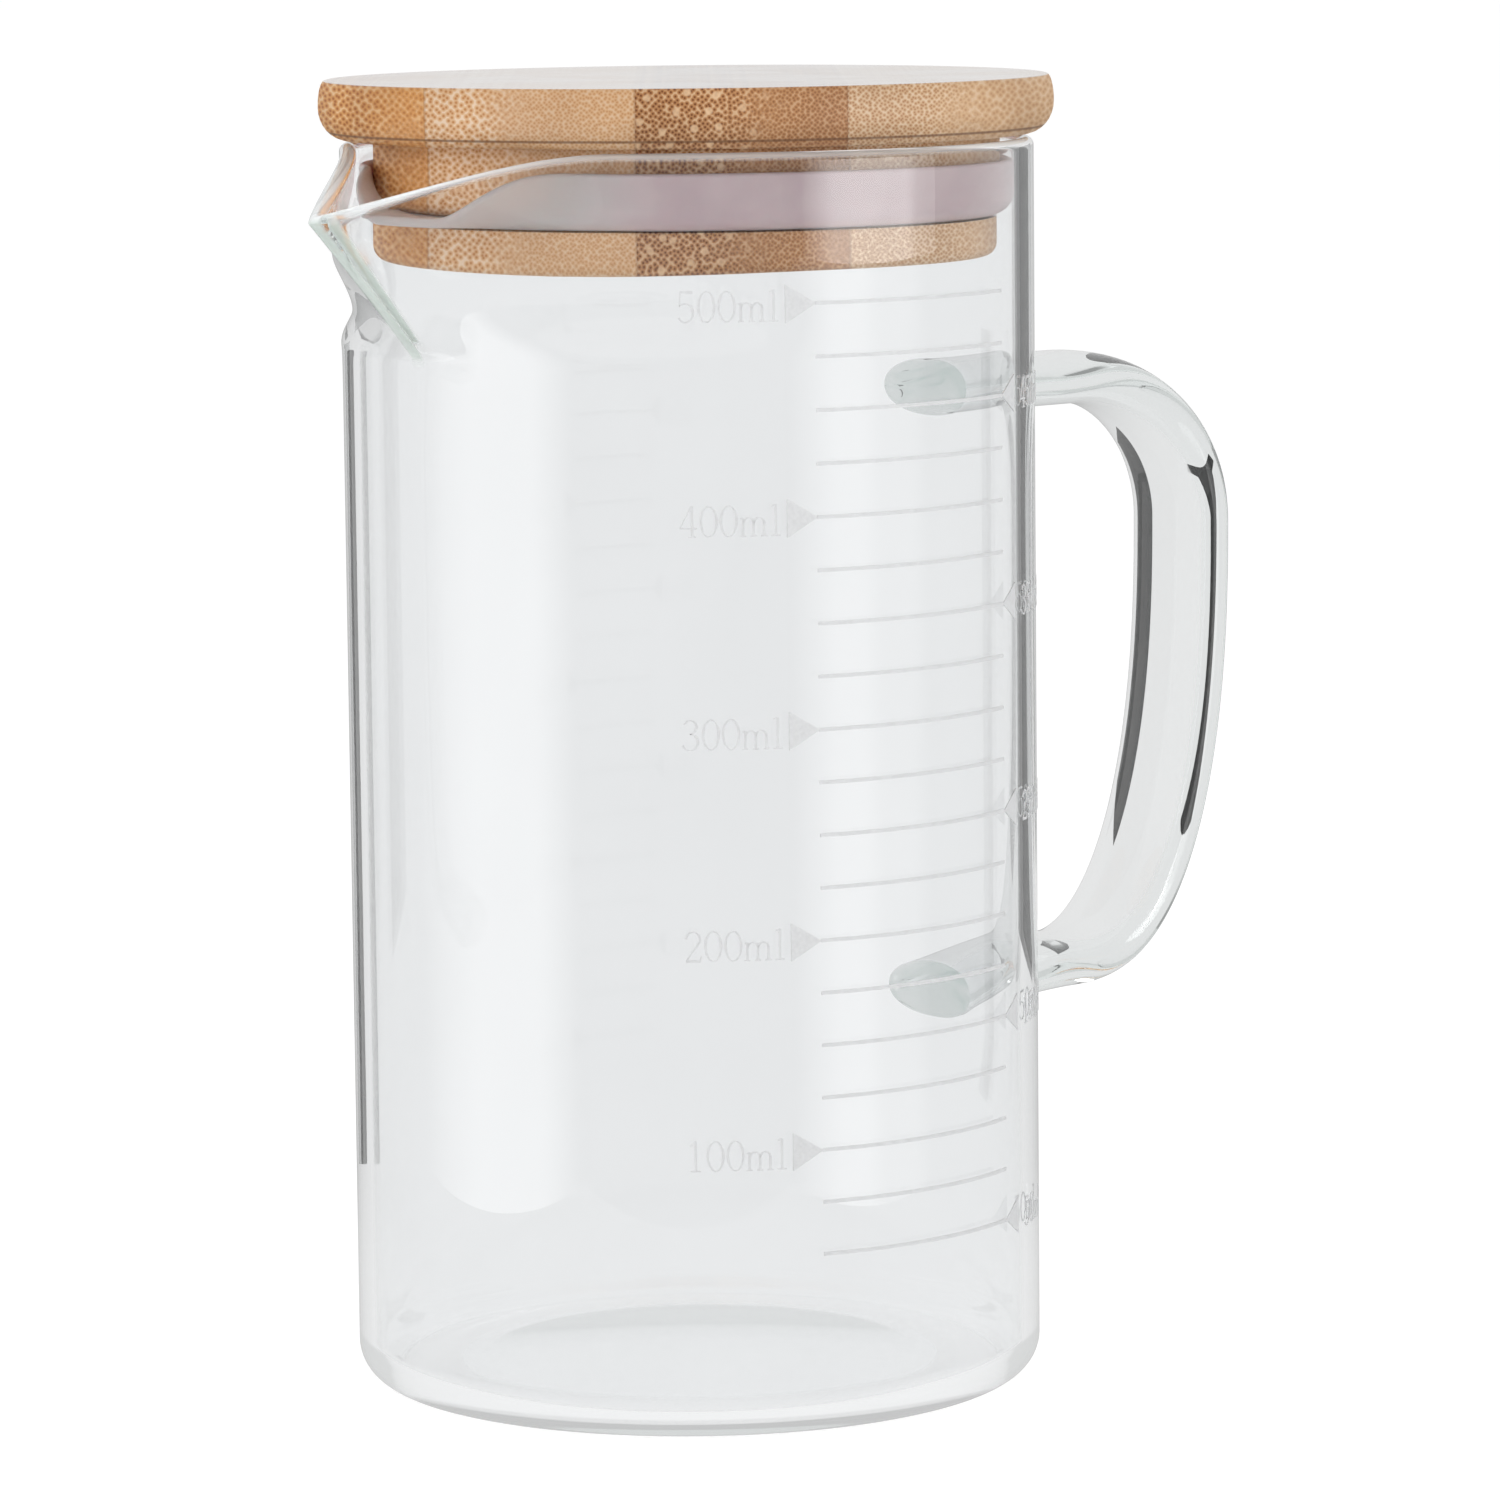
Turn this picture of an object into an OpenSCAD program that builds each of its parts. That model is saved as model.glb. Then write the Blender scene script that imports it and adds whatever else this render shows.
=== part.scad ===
// Glass measuring jug with a pinched pouring spout, a strap handle and a bamboo lid on a silicone ring.
// The jug stands on the XY plane with its axis on Z. The handle points along +X and the spout along -X.

/* [Glass body] */
// Outer diameter of the glass cylinder
body_d = 78; // [66:0.5:90]
// Height of the rim above the table
body_h = 140.9; // [120:0.2:180]
// Thickness of the glass wall
wall = 1.9; // [1.4:0.1:2.8]
// Outer radius of the heel, between the wall and the underside
heel_r = 4.5; // [3:0.1:8]
// Thickness of the base where the floor meets the inner corner
base_t = 2; // [1.6:0.1:4]
// Radius of the inner corner, between the wall and the floor
floor_r = 3.6; // [3:0.1:8]
// Rise of the floor at its middle
floor_rise = 1.5; // [0.4:0.1:3]
// Diameter of the push-up in the underside, inside the ring that the jug stands on
push_up_d = 54; // [40:0.5:60]
// Rise of the push-up at its middle
push_up_h = 1.3; // [0.3:0.1:1.6]

/* [Spout] */
// Reach of the spout's tip beyond the wall
spout_reach = 14.9; // [8:0.1:20]
// Drop of the rim at the spout's tip
spout_drop = 6.4; // [2:0.1:10]
// Distance from the rim down to the foot of the keel
spout_h = 22.6; // [16:0.1:30]
// Angle on each side of the keel that the spout takes up at the rim
spout_spread = 37.4; // [28:0.2:50]
// Angle on each side of the keel that the bulge takes up at the foot of the keel
keel_spread = 65; // [45:1:75]
// Rounding of the keel's edge, as an angle about the jug's axis
keel_round = 0.6; // [0.3:0.1:2]
// Extra glass along the keel, where the two flanks meet
keel_extra = 0.8; // [0:0.1:1.5]
// Depth of the dent pinched into the wall on each side of the spout
pinch_depth = 2.3; // [0:0.1:3]
// Distance from the rim down to the middle of the dent
pinch_drop = 17.1; // [14:0.1:20]
// Half of the dent's height
pinch_h = 5.5; // [3:0.1:6]
// Angle from the keel to the middle of the dent
pinch_angle = 38; // [34:1:45]
// Half of the dent's width, as an angle
pinch_spread = 34; // [20:1:34]

/* [Handle] */
// Width of the glass strap
strap_w = 14.4; // [10:0.1:18]
// Thickness of the glass strap
strap_t = 6.3; // [4.5:0.1:8]
// Reach of the handle's outer face beyond the wall
handle_reach = 42.7; // [38:0.1:50]
// Distance from the rim down to the middle of the upper foot
handle_top_drop = 30.1; // [28:0.1:36]
// Height of the lower arm's middle above the table, at its elbow
handle_low = 41.3; // [34:0.1:50]
// Distance from the rim down to the point where the grip stands furthest out
grip_drop = 48.2; // [44:0.2:56]
// Distance from the wall to the start of the upper bend
upper_elbow = 18.8; // [14:0.2:22]
// Distance from the wall to the start of the lower bend
lower_elbow = 17.9; // [14:0.1:22]
// Drop of the lower arm between its elbow and its foot
arm_drop = 1.5; // [0:0.1:2.5]
// Length over which each foot widens towards the wall
foot_l = 4; // [2:0.1:8]
// Depth to which the feet are melted into the wall
weld = 0.4; // [0.2:0.05:0.8]

/* [Lid] */
// Overhang of the lid's disc beyond the glass wall
lid_overhang = 2.3; // [1:0.1:5]
// Thickness of the lid's top board
board_t = 5.7; // [5:0.1:9]
// Thickness of the shoulder that the lower board keeps under the top board
shoulder_t = 0.9; // [0.6:0.1:2]
// Gap between the rim and the lid's underside
rim_gap = 0.4; // [0.2:0.05:1]
// Width of the rounding under the disc's edge
bull_w = 3.1; // [1.5:0.1:4]
// Height of the rounding under the disc's edge
bull_h = 3.6; // [2:0.1:4]
// Width of the rounding above the disc's edge
edge_w = 0.8; // [0.3:0.1:1.2]
// Gap between the bore and the plug's neck
neck_gap = 1.9; // [1.6:0.1:3]
// Length of the plug's neck
neck_h = 7.8; // [6.6:0.1:12]
// Radius of the neck's lower edge
neck_edge_r = 1.6; // [1.4:0.1:2]
// Gap between the bore and the plug's flange
flange_gap = 2.3; // [1.8:0.1:3]
// Thickness of the plug's flange
flange_h = 4.4; // [3:0.1:8]
// Radius of the flange's lower edge
flange_edge_r = 1.4; // [0.5:0.1:2]
// Depth of the ring's groove behind the flange's side
groove_d = 1.7; // [1.2:0.1:3]
// Width of one bamboo strip, as a share of the lid's diameter
strip_share = 0.276; // [0.26:0.002:0.3]
// Distance from the lid's middle to the last glued seam, as a share of the lid's diameter
seam_share = 0.21; // [0.18:0.002:0.24]
// Direction across the strips, turned from +X, as the lid lies at rest
strip_turn = -41.2; // [-90:0.1:90]

/* [Seal] */
// Thickness of the silicone ring
seal_t = 1; // [0.8:0.05:1.3]
// Height of the ring's flap
seal_h = 6.3; // [4.5:0.1:7]
// Outer radius of the flap's bend
seal_bend = 2.8; // [2.4:0.1:3.2]
// Gap between the flap and the bore
seal_gap = 0.3; // [0.1:0.05:0.6]
// Angle on each side of the spout's middle over which the flap lies free
flap_free = 6.5; // [4:0.5:8]
// Angle on each side of the spout's middle from which the wall holds the flap upright
flap_held = 31; // [27:0.5:33]
// Rise of the free flap above the flat, as an angle
flap_rest = 4; // [3:0.5:15]
// Gap on each side of the ring's root in its groove
groove_gap = 0.15; // [0.1:0.05:0.3]

/* [Scale] */
// Width of the cube that holds one unit of the scale, which is 10 for millilitres
unit_w = 10; // [9:0.1:11]
// Units between two lines
line_units = 25; // [25:25:50]
// Number of line steps from zero to the lowest line
first_line = 2; // [1:1:4]
// Height of the scale's zero above the table
scale_zero = 9; // [6:0.1:12]
// Width of a printed line
line_w = 0.4; // [0.2:0.05:0.8]
// Thickness of the fired enamel
enamel_t = 0.12; // [0.08:0.02:0.3]
// Gap between the enamel and the glass
enamel_gap = 0.01; // [0.01:0.01:0.05]
// Angle covered by half of a line
line_span = 20.7; // [10:0.1:30]
// Height of a pointer
pointer_h = 4.2; // [2:0.1:5]
// Length of a pointer
pointer_l = 3.2; // [2:0.1:5]

/* [Hidden] */
$fn = 96;

// Overrun of every cut and slab past the solid that it meets
overrun = 1;
half_turn = 180;
// Columns round the glass and the ring, even numbers, and their spacing at the keel as a share of an even one
columns = 112;
seal_columns = 96;
column_share = 0.6;
// Rows up the spout, over the rim and round each corner of the base
spout_rows = 11;
rim_rows = 5;
corner_rows = 6;
// Powers that set how the flanks and the rim fall away from the keel
flank_power_rim = 2.42;
flank_power_keel = 1.5;
drop_power = 2.05;
// Stations of the two domes in the base, from the edge in to the flat in the middle
flat_share = 0.3;
dome_shares = [0.7, flat_share];
// Sides of the strap's section, rows round each bend, and how square the section and the lower bend are
strap_sides = 20;
bend_rows = 11;
strap_power = 2.2;
grip_power = 2.3;
// Growth of the strap's section at the wall, and the stations along a foot, from the wall out
foot_share = 0.05;
foot_shares = [0, 0.2, 0.5, 1];
// Steps round each rounding of the lid, and round the ring's bend and its tip
round_steps = 8;
bend_steps = 4;
tip_steps = 3;
// Line steps from one pointer to the next on the same side
pointer_steps = 4;
strips = 4;

body_r = body_d / 2;
bore_r = body_r - wall;
push_r = push_up_d / 2;
keel_z = body_h - spout_h;
edge_z = body_h - wall / 2;
pinch_z = body_h - pinch_drop;

lid_r = body_r + lid_overhang;
strip_w = 2 * lid_r * strip_share;
seam_x = 2 * lid_r * seam_share;
under_z = body_h + rim_gap;
glue_z = under_z + shoulder_t;
lid_top = glue_z + board_t;
neck_r = bore_r - neck_gap;
flange_r = bore_r - flange_gap;
groove_r = flange_r - groove_d;
neck_z = under_z - neck_h;
groove_h = seal_t + 2 * groove_gap;
flange_top = neck_z - groove_h;
flange_z = flange_top - flange_h;
seal_r = bore_r - seal_gap;
seal_z = flange_top + groove_gap;
seal_root_r = groove_r + groove_gap;

bore_area = PI * bore_r * bore_r;
line_pitch = line_units * unit_w * unit_w * unit_w / bore_area;
last_line = floor((flange_z - scale_zero) / line_pitch);
enamel_r = body_r + enamel_gap;

grip_z = body_h - grip_drop;
handle_top = body_h - handle_top_drop;
grip_x = body_r + handle_reach - strap_t / 2;
upper_x = body_r + upper_elbow;
lower_x = body_r + lower_elbow;

// A smooth bump, one at its middle and zero from plus or minus one outwards
function hump(u) = abs(u) < 1 ? (1 + cos(half_turn * u)) / 2 : 0;

// How much is left of the spout at an angle from the keel, one on the keel and zero at the spread
function spout_left(angle, spread) =
    max(0, 1 - (sqrt(angle * angle + keel_round * keel_round) - keel_round) / spread);

// Angle of a column from the keel, with the columns closer together near the keel
function column_angle(i, count = columns) =
    let (u = 2 * i / count - 1)
    half_turn * (column_share * u + (1 - column_share) * u * u * u);

// Height of a loft row, from the keel's foot at zero to the straight edge below the rim at one
function row_z(angle, rise) =
    let (top = edge_z - spout_drop * pow(spout_left(angle, spout_spread), drop_power))
    keel_z + rise * (top - keel_z);

// Radius of the glass at a loft row, on its outer face at depth zero and on its inner face at depth one
function row_r(angle, rise, depth) =
    let (
        spread = keel_spread + rise * (spout_spread - keel_spread),
        power = flank_power_keel + rise * (flank_power_rim - flank_power_keel),
        bulge = (spout_reach - depth * keel_extra) * rise * pow(spout_left(angle, spread), power),
        dent = pinch_depth * hump((abs(angle) - pinch_angle) / pinch_spread)
            * hump((row_z(angle, rise) - pinch_z) / pinch_h)
    )
    body_r - depth * wall + bulge - dent;

function polar(angle, r, z) = [-r * cos(angle), -r * sin(angle), z];

// A plain round row of the glass
function round_row(r, z) = [for (i = [0:columns - 1]) polar(column_angle(i), r, z)];

// A row of the spout's loft
function loft_row(rise, depth) = [
    for (i = [0:columns - 1])
        let (a = column_angle(i))
        polar(a, row_r(a, rise, depth), row_z(a, rise))
];

// A row of the fire-polished rim, turned from the outer face at 0 to the inner face at 180
function rim_row(turn) = [
    for (i = [0:columns - 1])
        let (
            a = column_angle(i),
            depth = (1 - cos(turn)) / 2,
            r = row_r(a, 1, 0) * (1 - depth) + row_r(a, 1, 1) * depth
        )
        polar(a, r, row_z(a, 1) + wall / 2 * sin(turn))
];

// Points of a quarter ellipse about a centre, between two angles
function arc(x, z, w, h, from, to, steps) = [
    for (k = [0:steps])
        let (a = from + (to - from) * k / steps)
        [x + w * cos(a), z + h * sin(a)]
];

// Triangles of a skin over closed rows that all have the same count of points
function skin_faces(rows, count) = [
    for (j = [0:rows - 2], i = [0:count - 1])
        let (
            a = j * count + i,
            b = j * count + (i + 1) % count
        )
        each [[a, a + count, b], [b, a + count, b + count]]
];

// Triangles that close a row to one point
function fan_faces(start, count, tip, turned) = [
    for (i = [0:count - 1])
        let (
            a = start + i,
            b = start + (i + 1) % count
        )
        turned ? [b, a, tip] : [a, b, tip]
];

// Triangles of a skin over closed rows of which the last joins the first
function ring_faces(rows, count) =
    let (total = rows * count)
    [for (f = skin_faces(rows + 1, count)) [f[2] % total, f[1] % total, f[0] % total]];

// A solid over closed rows, with a point to close each end
module skinned(rows, low_tip, high_tip) {
    count = len(rows[0]);
    total = len(rows) * count;
    points = [for (row = rows) each row, low_tip, high_tip];
    faces = concat(
        skin_faces(len(rows), count),
        fan_faces(0, count, total, false),
        fan_faces(total - count, count, total + 1, true)
    );
    polyhedron(points, faces, convexity = 10);
}

// Rise of a dome in the base at a station, zero at its edge and one at its flat middle
function dome(s) = (1 - s * s) / (1 - flat_share * flat_share);

// The rows of the glass, from the underside up the outer face, over the rim and down to the floor
function glass_rows() =
    let (
        heel = arc(body_r - heel_r, heel_r, heel_r, heel_r, -90, 0, corner_rows),
        floor_x = bore_r - floor_r,
        corner = arc(floor_x, base_t + floor_r, floor_r, floor_r, 0, -90, corner_rows)
    )
    concat(
        [for (p = heel) round_row(p[0], p[1])],
        [for (k = [0:spout_rows]) loft_row(k / spout_rows, 0)],
        [for (k = [1:rim_rows - 1]) rim_row(half_turn * k / rim_rows)],
        [for (k = [spout_rows:-1:0]) loft_row(k / spout_rows, 1)],
        [for (p = corner) round_row(p[0], p[1])],
        [for (s = dome_shares) round_row(floor_x * s, base_t + floor_rise * dome(s))]
    );

// The hollow under the base, a shallow dome that is turned about the axis
module push_up() {
    rotate_extrude()
        polygon(concat(
            [[0, -overrun], [push_r, -overrun], [push_r, 0]],
            [for (s = dome_shares) [push_r * s, push_up_h * dome(s)]],
            [[0, push_up_h]]
        ));
}

// The blown glass, with its mouth drawn out into the spout and its base pushed up in the middle
module jug_body() {
    color([0.82, 0.9, 0.88, 0.35])
        difference() {
            skinned(glass_rows(), [0, 0, 0], [0, 0, base_t + floor_rise]);
            push_up();
        }
}

// Centre line of the strap, from the upper foot round the grip to the lower foot, as X and Z
function strap_path() = concat(
    [for (s = foot_shares) [body_r + foot_l * s, handle_top]],
    [for (k = [0:bend_rows - 1])
        let (a = 90 - 90 * k / bend_rows)
        [upper_x + (grip_x - upper_x) * cos(a), grip_z + (handle_top - grip_z) * sin(a)]],
    [for (k = [0:bend_rows])
        let (a = 90 * k / bend_rows)
        [
            lower_x + (grip_x - lower_x) * pow(cos(a), 2 / grip_power),
            grip_z - (grip_z - handle_low) * pow(sin(a), 2 / grip_power)
        ]],
    [for (k = [len(foot_shares) - 1:-1:0])
        let (
            x = foot_l * foot_shares[k],
            s = 1 - x / lower_elbow
        )
        [body_r + x, handle_low - arm_drop * s * s]]
);

// Growth of the strap's section at a distance from the wall
function foot_growth(gap) =
    let (s = max(0, 1 - gap / foot_l))
    1 + foot_share * s * s;

// One half of the strap's rounded section, as a share between minus one and one
function squared(v) = sign(v) * pow(abs(v), 2 / strap_power);

// A section of the strap, square to the path, or laid into the wall at the two feet
function strap_row(path, k) =
    let (
        last = len(path) - 1,
        p = path[k],
        d = path[min(k + 1, last)] - path[max(k - 1, 0)],
        t = d / norm(d),
        grow = foot_growth(p[0] - body_r),
        foot = k == 0 || k == last
    )
    [
        for (i = [0:strap_sides - 1])
            let (
                a = 360 * i / strap_sides,
                y = strap_w / 2 * grow * squared(cos(a)),
                n = strap_t / 2 * grow * squared(sin(a)),
                weld_r = body_r - weld
            )
            foot
                ? [sqrt(weld_r * weld_r - y * y), y, p[1] + n * t[0]]
                : [p[0] - n * t[1], y, p[1] + n * t[0]]
    ];

// The glass strap, with both feet melted into the wall
module handle() {
    path = strap_path();
    rows = [for (k = [0:len(path) - 1]) strap_row(path, k)];
    first = path[0];
    last = path[len(path) - 1];
    color([0.8, 0.9, 0.87, 0.4])
        skinned(rows, [body_r - weld, 0, first[1]], [body_r - weld, 0, last[1]]);
}

function line_z(k) = scale_zero + k * line_pitch;

// The graduation lines of fired enamel, one for each step of the scale
module scale_lines() {
    color([0.82, 0.83, 0.83])
        for (k = [first_line:last_line])
            rotate([0, 0, -90 - line_span])
                rotate_extrude(angle = 2 * line_span)
                    translate([enamel_r, line_z(k) - line_w / 2])
                        square([enamel_t, line_w]);
}

// One pointer of enamel at the end of a line, on the left of the scale or on its right
module pointer(side) {
    start = side * line_span;
    base = body_r * sin(line_span) + pointer_l;
    intersection() {
        difference() {
            cylinder(r = enamel_r + enamel_t, h = pointer_h, center = true);
            cylinder(r = enamel_r, h = pointer_h + overrun, center = true);
        }
        rotate([90, 0, 0])
            linear_extrude(body_r + overrun)
                polygon([
                    [body_r * sin(start), 0],
                    [side * base, pointer_h / 2],
                    [side * base, -pointer_h / 2]
                ]);
    }
}

// The pointers, on the left at every full step and on the right half way between
module scale_pointers() {
    color([0.8, 0.81, 0.81])
        for (k = [first_line:last_line])
            if (k % (pointer_steps / 2) == 0)
                translate([0, 0, line_z(k)])
                    pointer(k % pointer_steps == 0 ? -1 : 1);
}

// Angle to which the flap is folded up: almost flat in the spout, and upright along the bore
function flap_fold(angle) =
    let (
        u = (abs(angle) - flap_free) / (flap_held - flap_free),
        s = min(1, max(0, u))
    )
    flap_rest + (90 - flap_rest) * s * s * (3 - 2 * s);

// A point of the ring's section, at a depth below the middle of its bend and a length along the flap
function flap_point(angle, fold, depth, along) = polar(
    angle,
    seal_r - seal_bend + depth * sin(fold) + along * cos(fold),
    seal_z + seal_bend - depth * cos(fold) + along * sin(fold)
);

// The ring's section at an angle from the spout: root, outer bend, round tip and inner bend
function seal_section(angle) =
    let (
        fold = flap_fold(angle),
        tip_r = seal_t / 2,
        middle = seal_bend - tip_r,
        inner = seal_bend - seal_t,
        straight = seal_h - seal_bend - tip_r + middle * PI * (90 - fold) / half_turn
    )
    concat(
        [polar(angle, seal_root_r, seal_z + seal_t), polar(angle, seal_root_r, seal_z)],
        [for (k = [0:bend_steps]) flap_point(angle, fold * k / bend_steps, seal_bend, 0)],
        [for (k = [0:tip_steps])
            let (a = half_turn * k / tip_steps)
            flap_point(angle, fold, middle + tip_r * cos(a), straight + tip_r * sin(a))],
        [for (k = [bend_steps:-1:0]) flap_point(angle, fold * k / bend_steps, inner, 0)]
    );

// The silicone ring: a flat root in the groove and a flap that the bore folds up, but not the spout
module seal_ring() {
    sections = [for (i = [0:seal_columns - 1]) seal_section(column_angle(i, seal_columns))];
    points = [for (section = sections) each section];
    color([0.8, 0.74, 0.76, 0.8])
        polyhedron(points, ring_faces(seal_columns, len(sections[0])), convexity = 10);
}

// Outline of the whole lid from its axis: flange, groove, neck, shoulder and disc
function lid_outline() =
    let (
        edge_z = under_z + bull_h,
        bull_x = lid_r - bull_w
    )
    concat(
        [[0, flange_z]],
        arc(flange_r - flange_edge_r, flange_z + flange_edge_r,
            flange_edge_r, flange_edge_r, -90, 0, round_steps),
        [[flange_r, flange_top], [groove_r, flange_top], [groove_r, neck_z]],
        arc(neck_r - neck_edge_r, neck_z + neck_edge_r, neck_edge_r, neck_edge_r, -90, 0, round_steps),
        [[neck_r, under_z]],
        arc(bull_x, edge_z, bull_w, bull_h, -90, 0, round_steps),
        arc(lid_r - edge_w, edge_z, edge_w, lid_top - edge_z, 0, 90, round_steps),
        [[0, lid_top]]
    );

// One bamboo strip of a board that lies between two heights, cut from the turned lid
module strip(k, low, high) {
    reach = lid_r + overrun;
    seam = seam_x - (strips - 1 - k) * strip_w;
    from = k == 1 ? -reach : seam - strip_w;
    to = k == strips ? reach : seam;
    intersection() {
        rotate_extrude()
            polygon(lid_outline());
        rotate([0, 0, strip_turn])
            translate([from, -reach, low])
                cube([to - from, 2 * reach, high - low]);
    }
}

strip_tones = ["#c98d4d", "#dcb07a", "#b87d42", "#d2a066"];

// A strip of the top board
module lid_strip(k) {
    color(strip_tones[k - 1])
        strip(k, glue_z, lid_top + overrun);
}

// A strip of the lower board, which carries the shoulder, the neck, the groove and the flange
module plug_strip(k) {
    color(strip_tones[k - 1])
        strip(k, flange_z - overrun, glue_z);
}

jug_body();
handle();
scale_lines();
scale_pointers();
seal_ring();
lid_strip(1);  // lid_strip_1
lid_strip(2);  // lid_strip_2
lid_strip(3);  // lid_strip_3
lid_strip(4);  // lid_strip_4
plug_strip(1);  // plug_strip_1
plug_strip(2);  // plug_strip_2
plug_strip(3);  // plug_strip_3
plug_strip(4);  // plug_strip_4
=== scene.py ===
"""Glass measuring jug with a bamboo lid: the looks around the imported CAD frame."""
import math

import bmesh
import bpy
import numpy as np
from mathutils import Matrix, Vector


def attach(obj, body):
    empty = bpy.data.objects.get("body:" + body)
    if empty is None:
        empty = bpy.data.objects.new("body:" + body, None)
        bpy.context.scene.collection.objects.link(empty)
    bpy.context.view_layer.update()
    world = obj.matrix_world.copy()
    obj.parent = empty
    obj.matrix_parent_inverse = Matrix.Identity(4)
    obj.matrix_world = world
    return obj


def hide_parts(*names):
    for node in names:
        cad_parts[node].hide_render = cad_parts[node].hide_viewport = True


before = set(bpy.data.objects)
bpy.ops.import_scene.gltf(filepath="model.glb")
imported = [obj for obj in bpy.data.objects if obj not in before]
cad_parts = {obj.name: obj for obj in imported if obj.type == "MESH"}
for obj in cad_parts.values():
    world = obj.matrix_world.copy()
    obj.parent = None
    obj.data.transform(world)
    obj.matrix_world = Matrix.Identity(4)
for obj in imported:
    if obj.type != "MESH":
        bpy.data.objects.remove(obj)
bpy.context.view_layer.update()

MM = 0.001

# Camera, fitted to the photograph: millimetres and degrees about the jug's axis
CAMERA_DISTANCE = 794.7
CAMERA_HEIGHT = 173.3
CAMERA_TURN = 41.2
CAMERA_TILT = 7.295
CAMERA_YAW = 0.465
CAMERA_ROLL = 0.591
SENSOR = 36.0
LENS = 169.2
CLIP_START = 0.01
CLIP_END = 100

# Levels of the studio's white, where 1 is white: to the things that the world lights; to mirrors
# that face the room, the backdrop, or the floor round the base; to wood and silicone behind the
# glass, which the softboxes' own light doesn't pass; and to rays that were let out of the glass
WORLD_LEVEL = 0.6
ROOM_LEVEL = 0.45
BACK_LEVEL = 0.74
NEAR_LEVEL = 0.6
BEHIND_GLASS = 2.1
LET_OUT_LEVEL = 0.78
# How often a ray may turn inside the glass before it is let out, as a limit between two counts
GLASS_TURNS = 2.5

# Glass body, millimetres and degrees, as in the CAD source
BODY_R = 39.0
BODY_H = 140.9
WALL = 1.9
HEEL_R = 4.5
BASE_T = 2.0
FLOOR_R = 3.6
FLOOR_RISE = 1.5
PUSH_UP_R = 27.0
PUSH_UP_H = 1.3
SPOUT_REACH = 14.9
SPOUT_DROP = 6.4
SPOUT_H = 22.6
SPOUT_SPREAD = 37.4
KEEL_SPREAD = 65.0
KEEL_ROUND = 0.6
KEEL_EXTRA = 0.8
PINCH_DEPTH = 2.3
PINCH_DROP = 17.1
PINCH_H = 5.5
PINCH_ANGLE = 38.0
PINCH_SPREAD = 34.0
FLANK_POWER_RIM = 2.42
FLANK_POWER_KEEL = 1.5
DROP_POWER = 2.05
BORE_R = BODY_R - WALL
KEEL_Z = BODY_H - SPOUT_H
EDGE_Z = BODY_H - WALL / 2
PINCH_Z = BODY_H - PINCH_DROP

# These mark the glass's painted light along the keel and its painted highlight on the crown
# Where the wall is seen end on: half the width of its end along the keel, how softly that ends, how
# far outside the body it starts, and the share of the crown's height that is a blend
KEEL_HALF = 1.2
KEEL_SOFT = 0.4
KEEL_START = 0.1
CROWN_BLEND = 0.7

# Counts of the glass and the ring, whose columns crowd together at the spout
GLASS_COLUMNS = 360
COLUMN_SHARE = 0.08
COLUMN_POWER = 2.2
WALL_ROWS = 16
SPOUT_ROWS = 64
RIM_ROWS = 18
CORNER_ROWS = 24
DOME_ROWS = 10
BEND_STEPS = 14
TIP_STEPS = 10
# How far below the keel's foot the spout's rows begin, and how softly the keel starts there, both
# in shares of the spout's height
FOOT_RISE = 0.3
FOOT_SOFT = 0.05
# Edges sharper than this stay sharp, in degrees
GLASS_SMOOTH = 40
WOOD_SMOOTH = 30

# Handle
STRAP_W = 14.4
STRAP_T = 6.3
HANDLE_REACH = 42.7
HANDLE_TOP = BODY_H - 30.1
HANDLE_LOW = 41.3
GRIP_Z = BODY_H - 48.2
UPPER_X = BODY_R + 18.8
LOWER_ELBOW = 17.9
ARM_DROP = 1.5
FOOT_L = 4.0
FOOT_SHARE = 0.05
WELD = 0.4
STRAP_POWER = 2.2
GRIP_POWER = 2.3
STRAP_SIDES = 64
BEND_ROWS = 48
FOOT_ROWS = 16
ARM_ROWS = 12

# Lid: the width of the two inner strips and the place of the right-hand seam
LID_R = 41.3
STRIP_SHARE = 0.276
SEAM_SHARE = 0.21
STRIP_W = 2 * LID_R * STRIP_SHARE
SEAM_X = 2 * LID_R * SEAM_SHARE
GLUE_Z = BODY_H + 1.3

# Seal ring, whose flap is free in the spout and held along the bore
SEAL_ROOT_R = 33.25
SEAL_R = 36.8
SEAL_Z = BODY_H - 8.55
SEAL_T = 1.0
SEAL_H = 6.3
SEAL_BEND = 2.8
FLAP_FREE = 6.5
FLAP_HELD = 31.0
FLAP_REST = 4.0

# Printed scale: a line for each step of volume, and a numeral at every second line, by turns to the
# left and right of the lines
ML_PER_LINE = 25
LAST_LINE = 20
NUMERAL_EVERY = 2
LINE_PITCH = ML_PER_LINE * 1000 / (math.pi * BORE_R * BORE_R)
SCALE_ZERO = 9.0
INK_R = BODY_R + 0.02
INK_T = 0.06
FIGURE_H = 3.4
FIGURE_DROP = 0.15
LEFT_TEXT = -133.1
RIGHT_TEXT = -61.0


def linear(red, green, blue):
    """A display colour, 0 to 255, as linear light."""
    share = [v / 255 for v in (red, green, blue)]
    return [v / 12.92 if v <= 0.04045 else ((v + 0.055) / 1.055) ** 2.4 for v in share]


# Meshes

def add_object(name, verts, faces):
    """A mesh object from points in millimetres."""
    mesh = bpy.data.meshes.new(name)
    mesh.from_pydata([tuple(v) for v in np.asarray(verts) * MM], [], faces)
    mesh.validate()
    mesh.update()
    made = bpy.data.objects.new(name, mesh)
    bpy.context.scene.collection.objects.link(made)
    return made


def face_out(made):
    """Turns the faces of a closed mesh outwards."""
    work = bmesh.new()
    work.from_mesh(made.data)
    bmesh.ops.recalc_face_normals(work, faces=work.faces)
    work.to_mesh(made.data)
    work.free()


def smooth(mesh, angle):
    """Smooth shading with edges sharper than the angle kept."""
    mesh.polygons.foreach_set("use_smooth", [True] * len(mesh.polygons))
    mesh.set_sharp_from_angle(angle=math.radians(angle))


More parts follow.
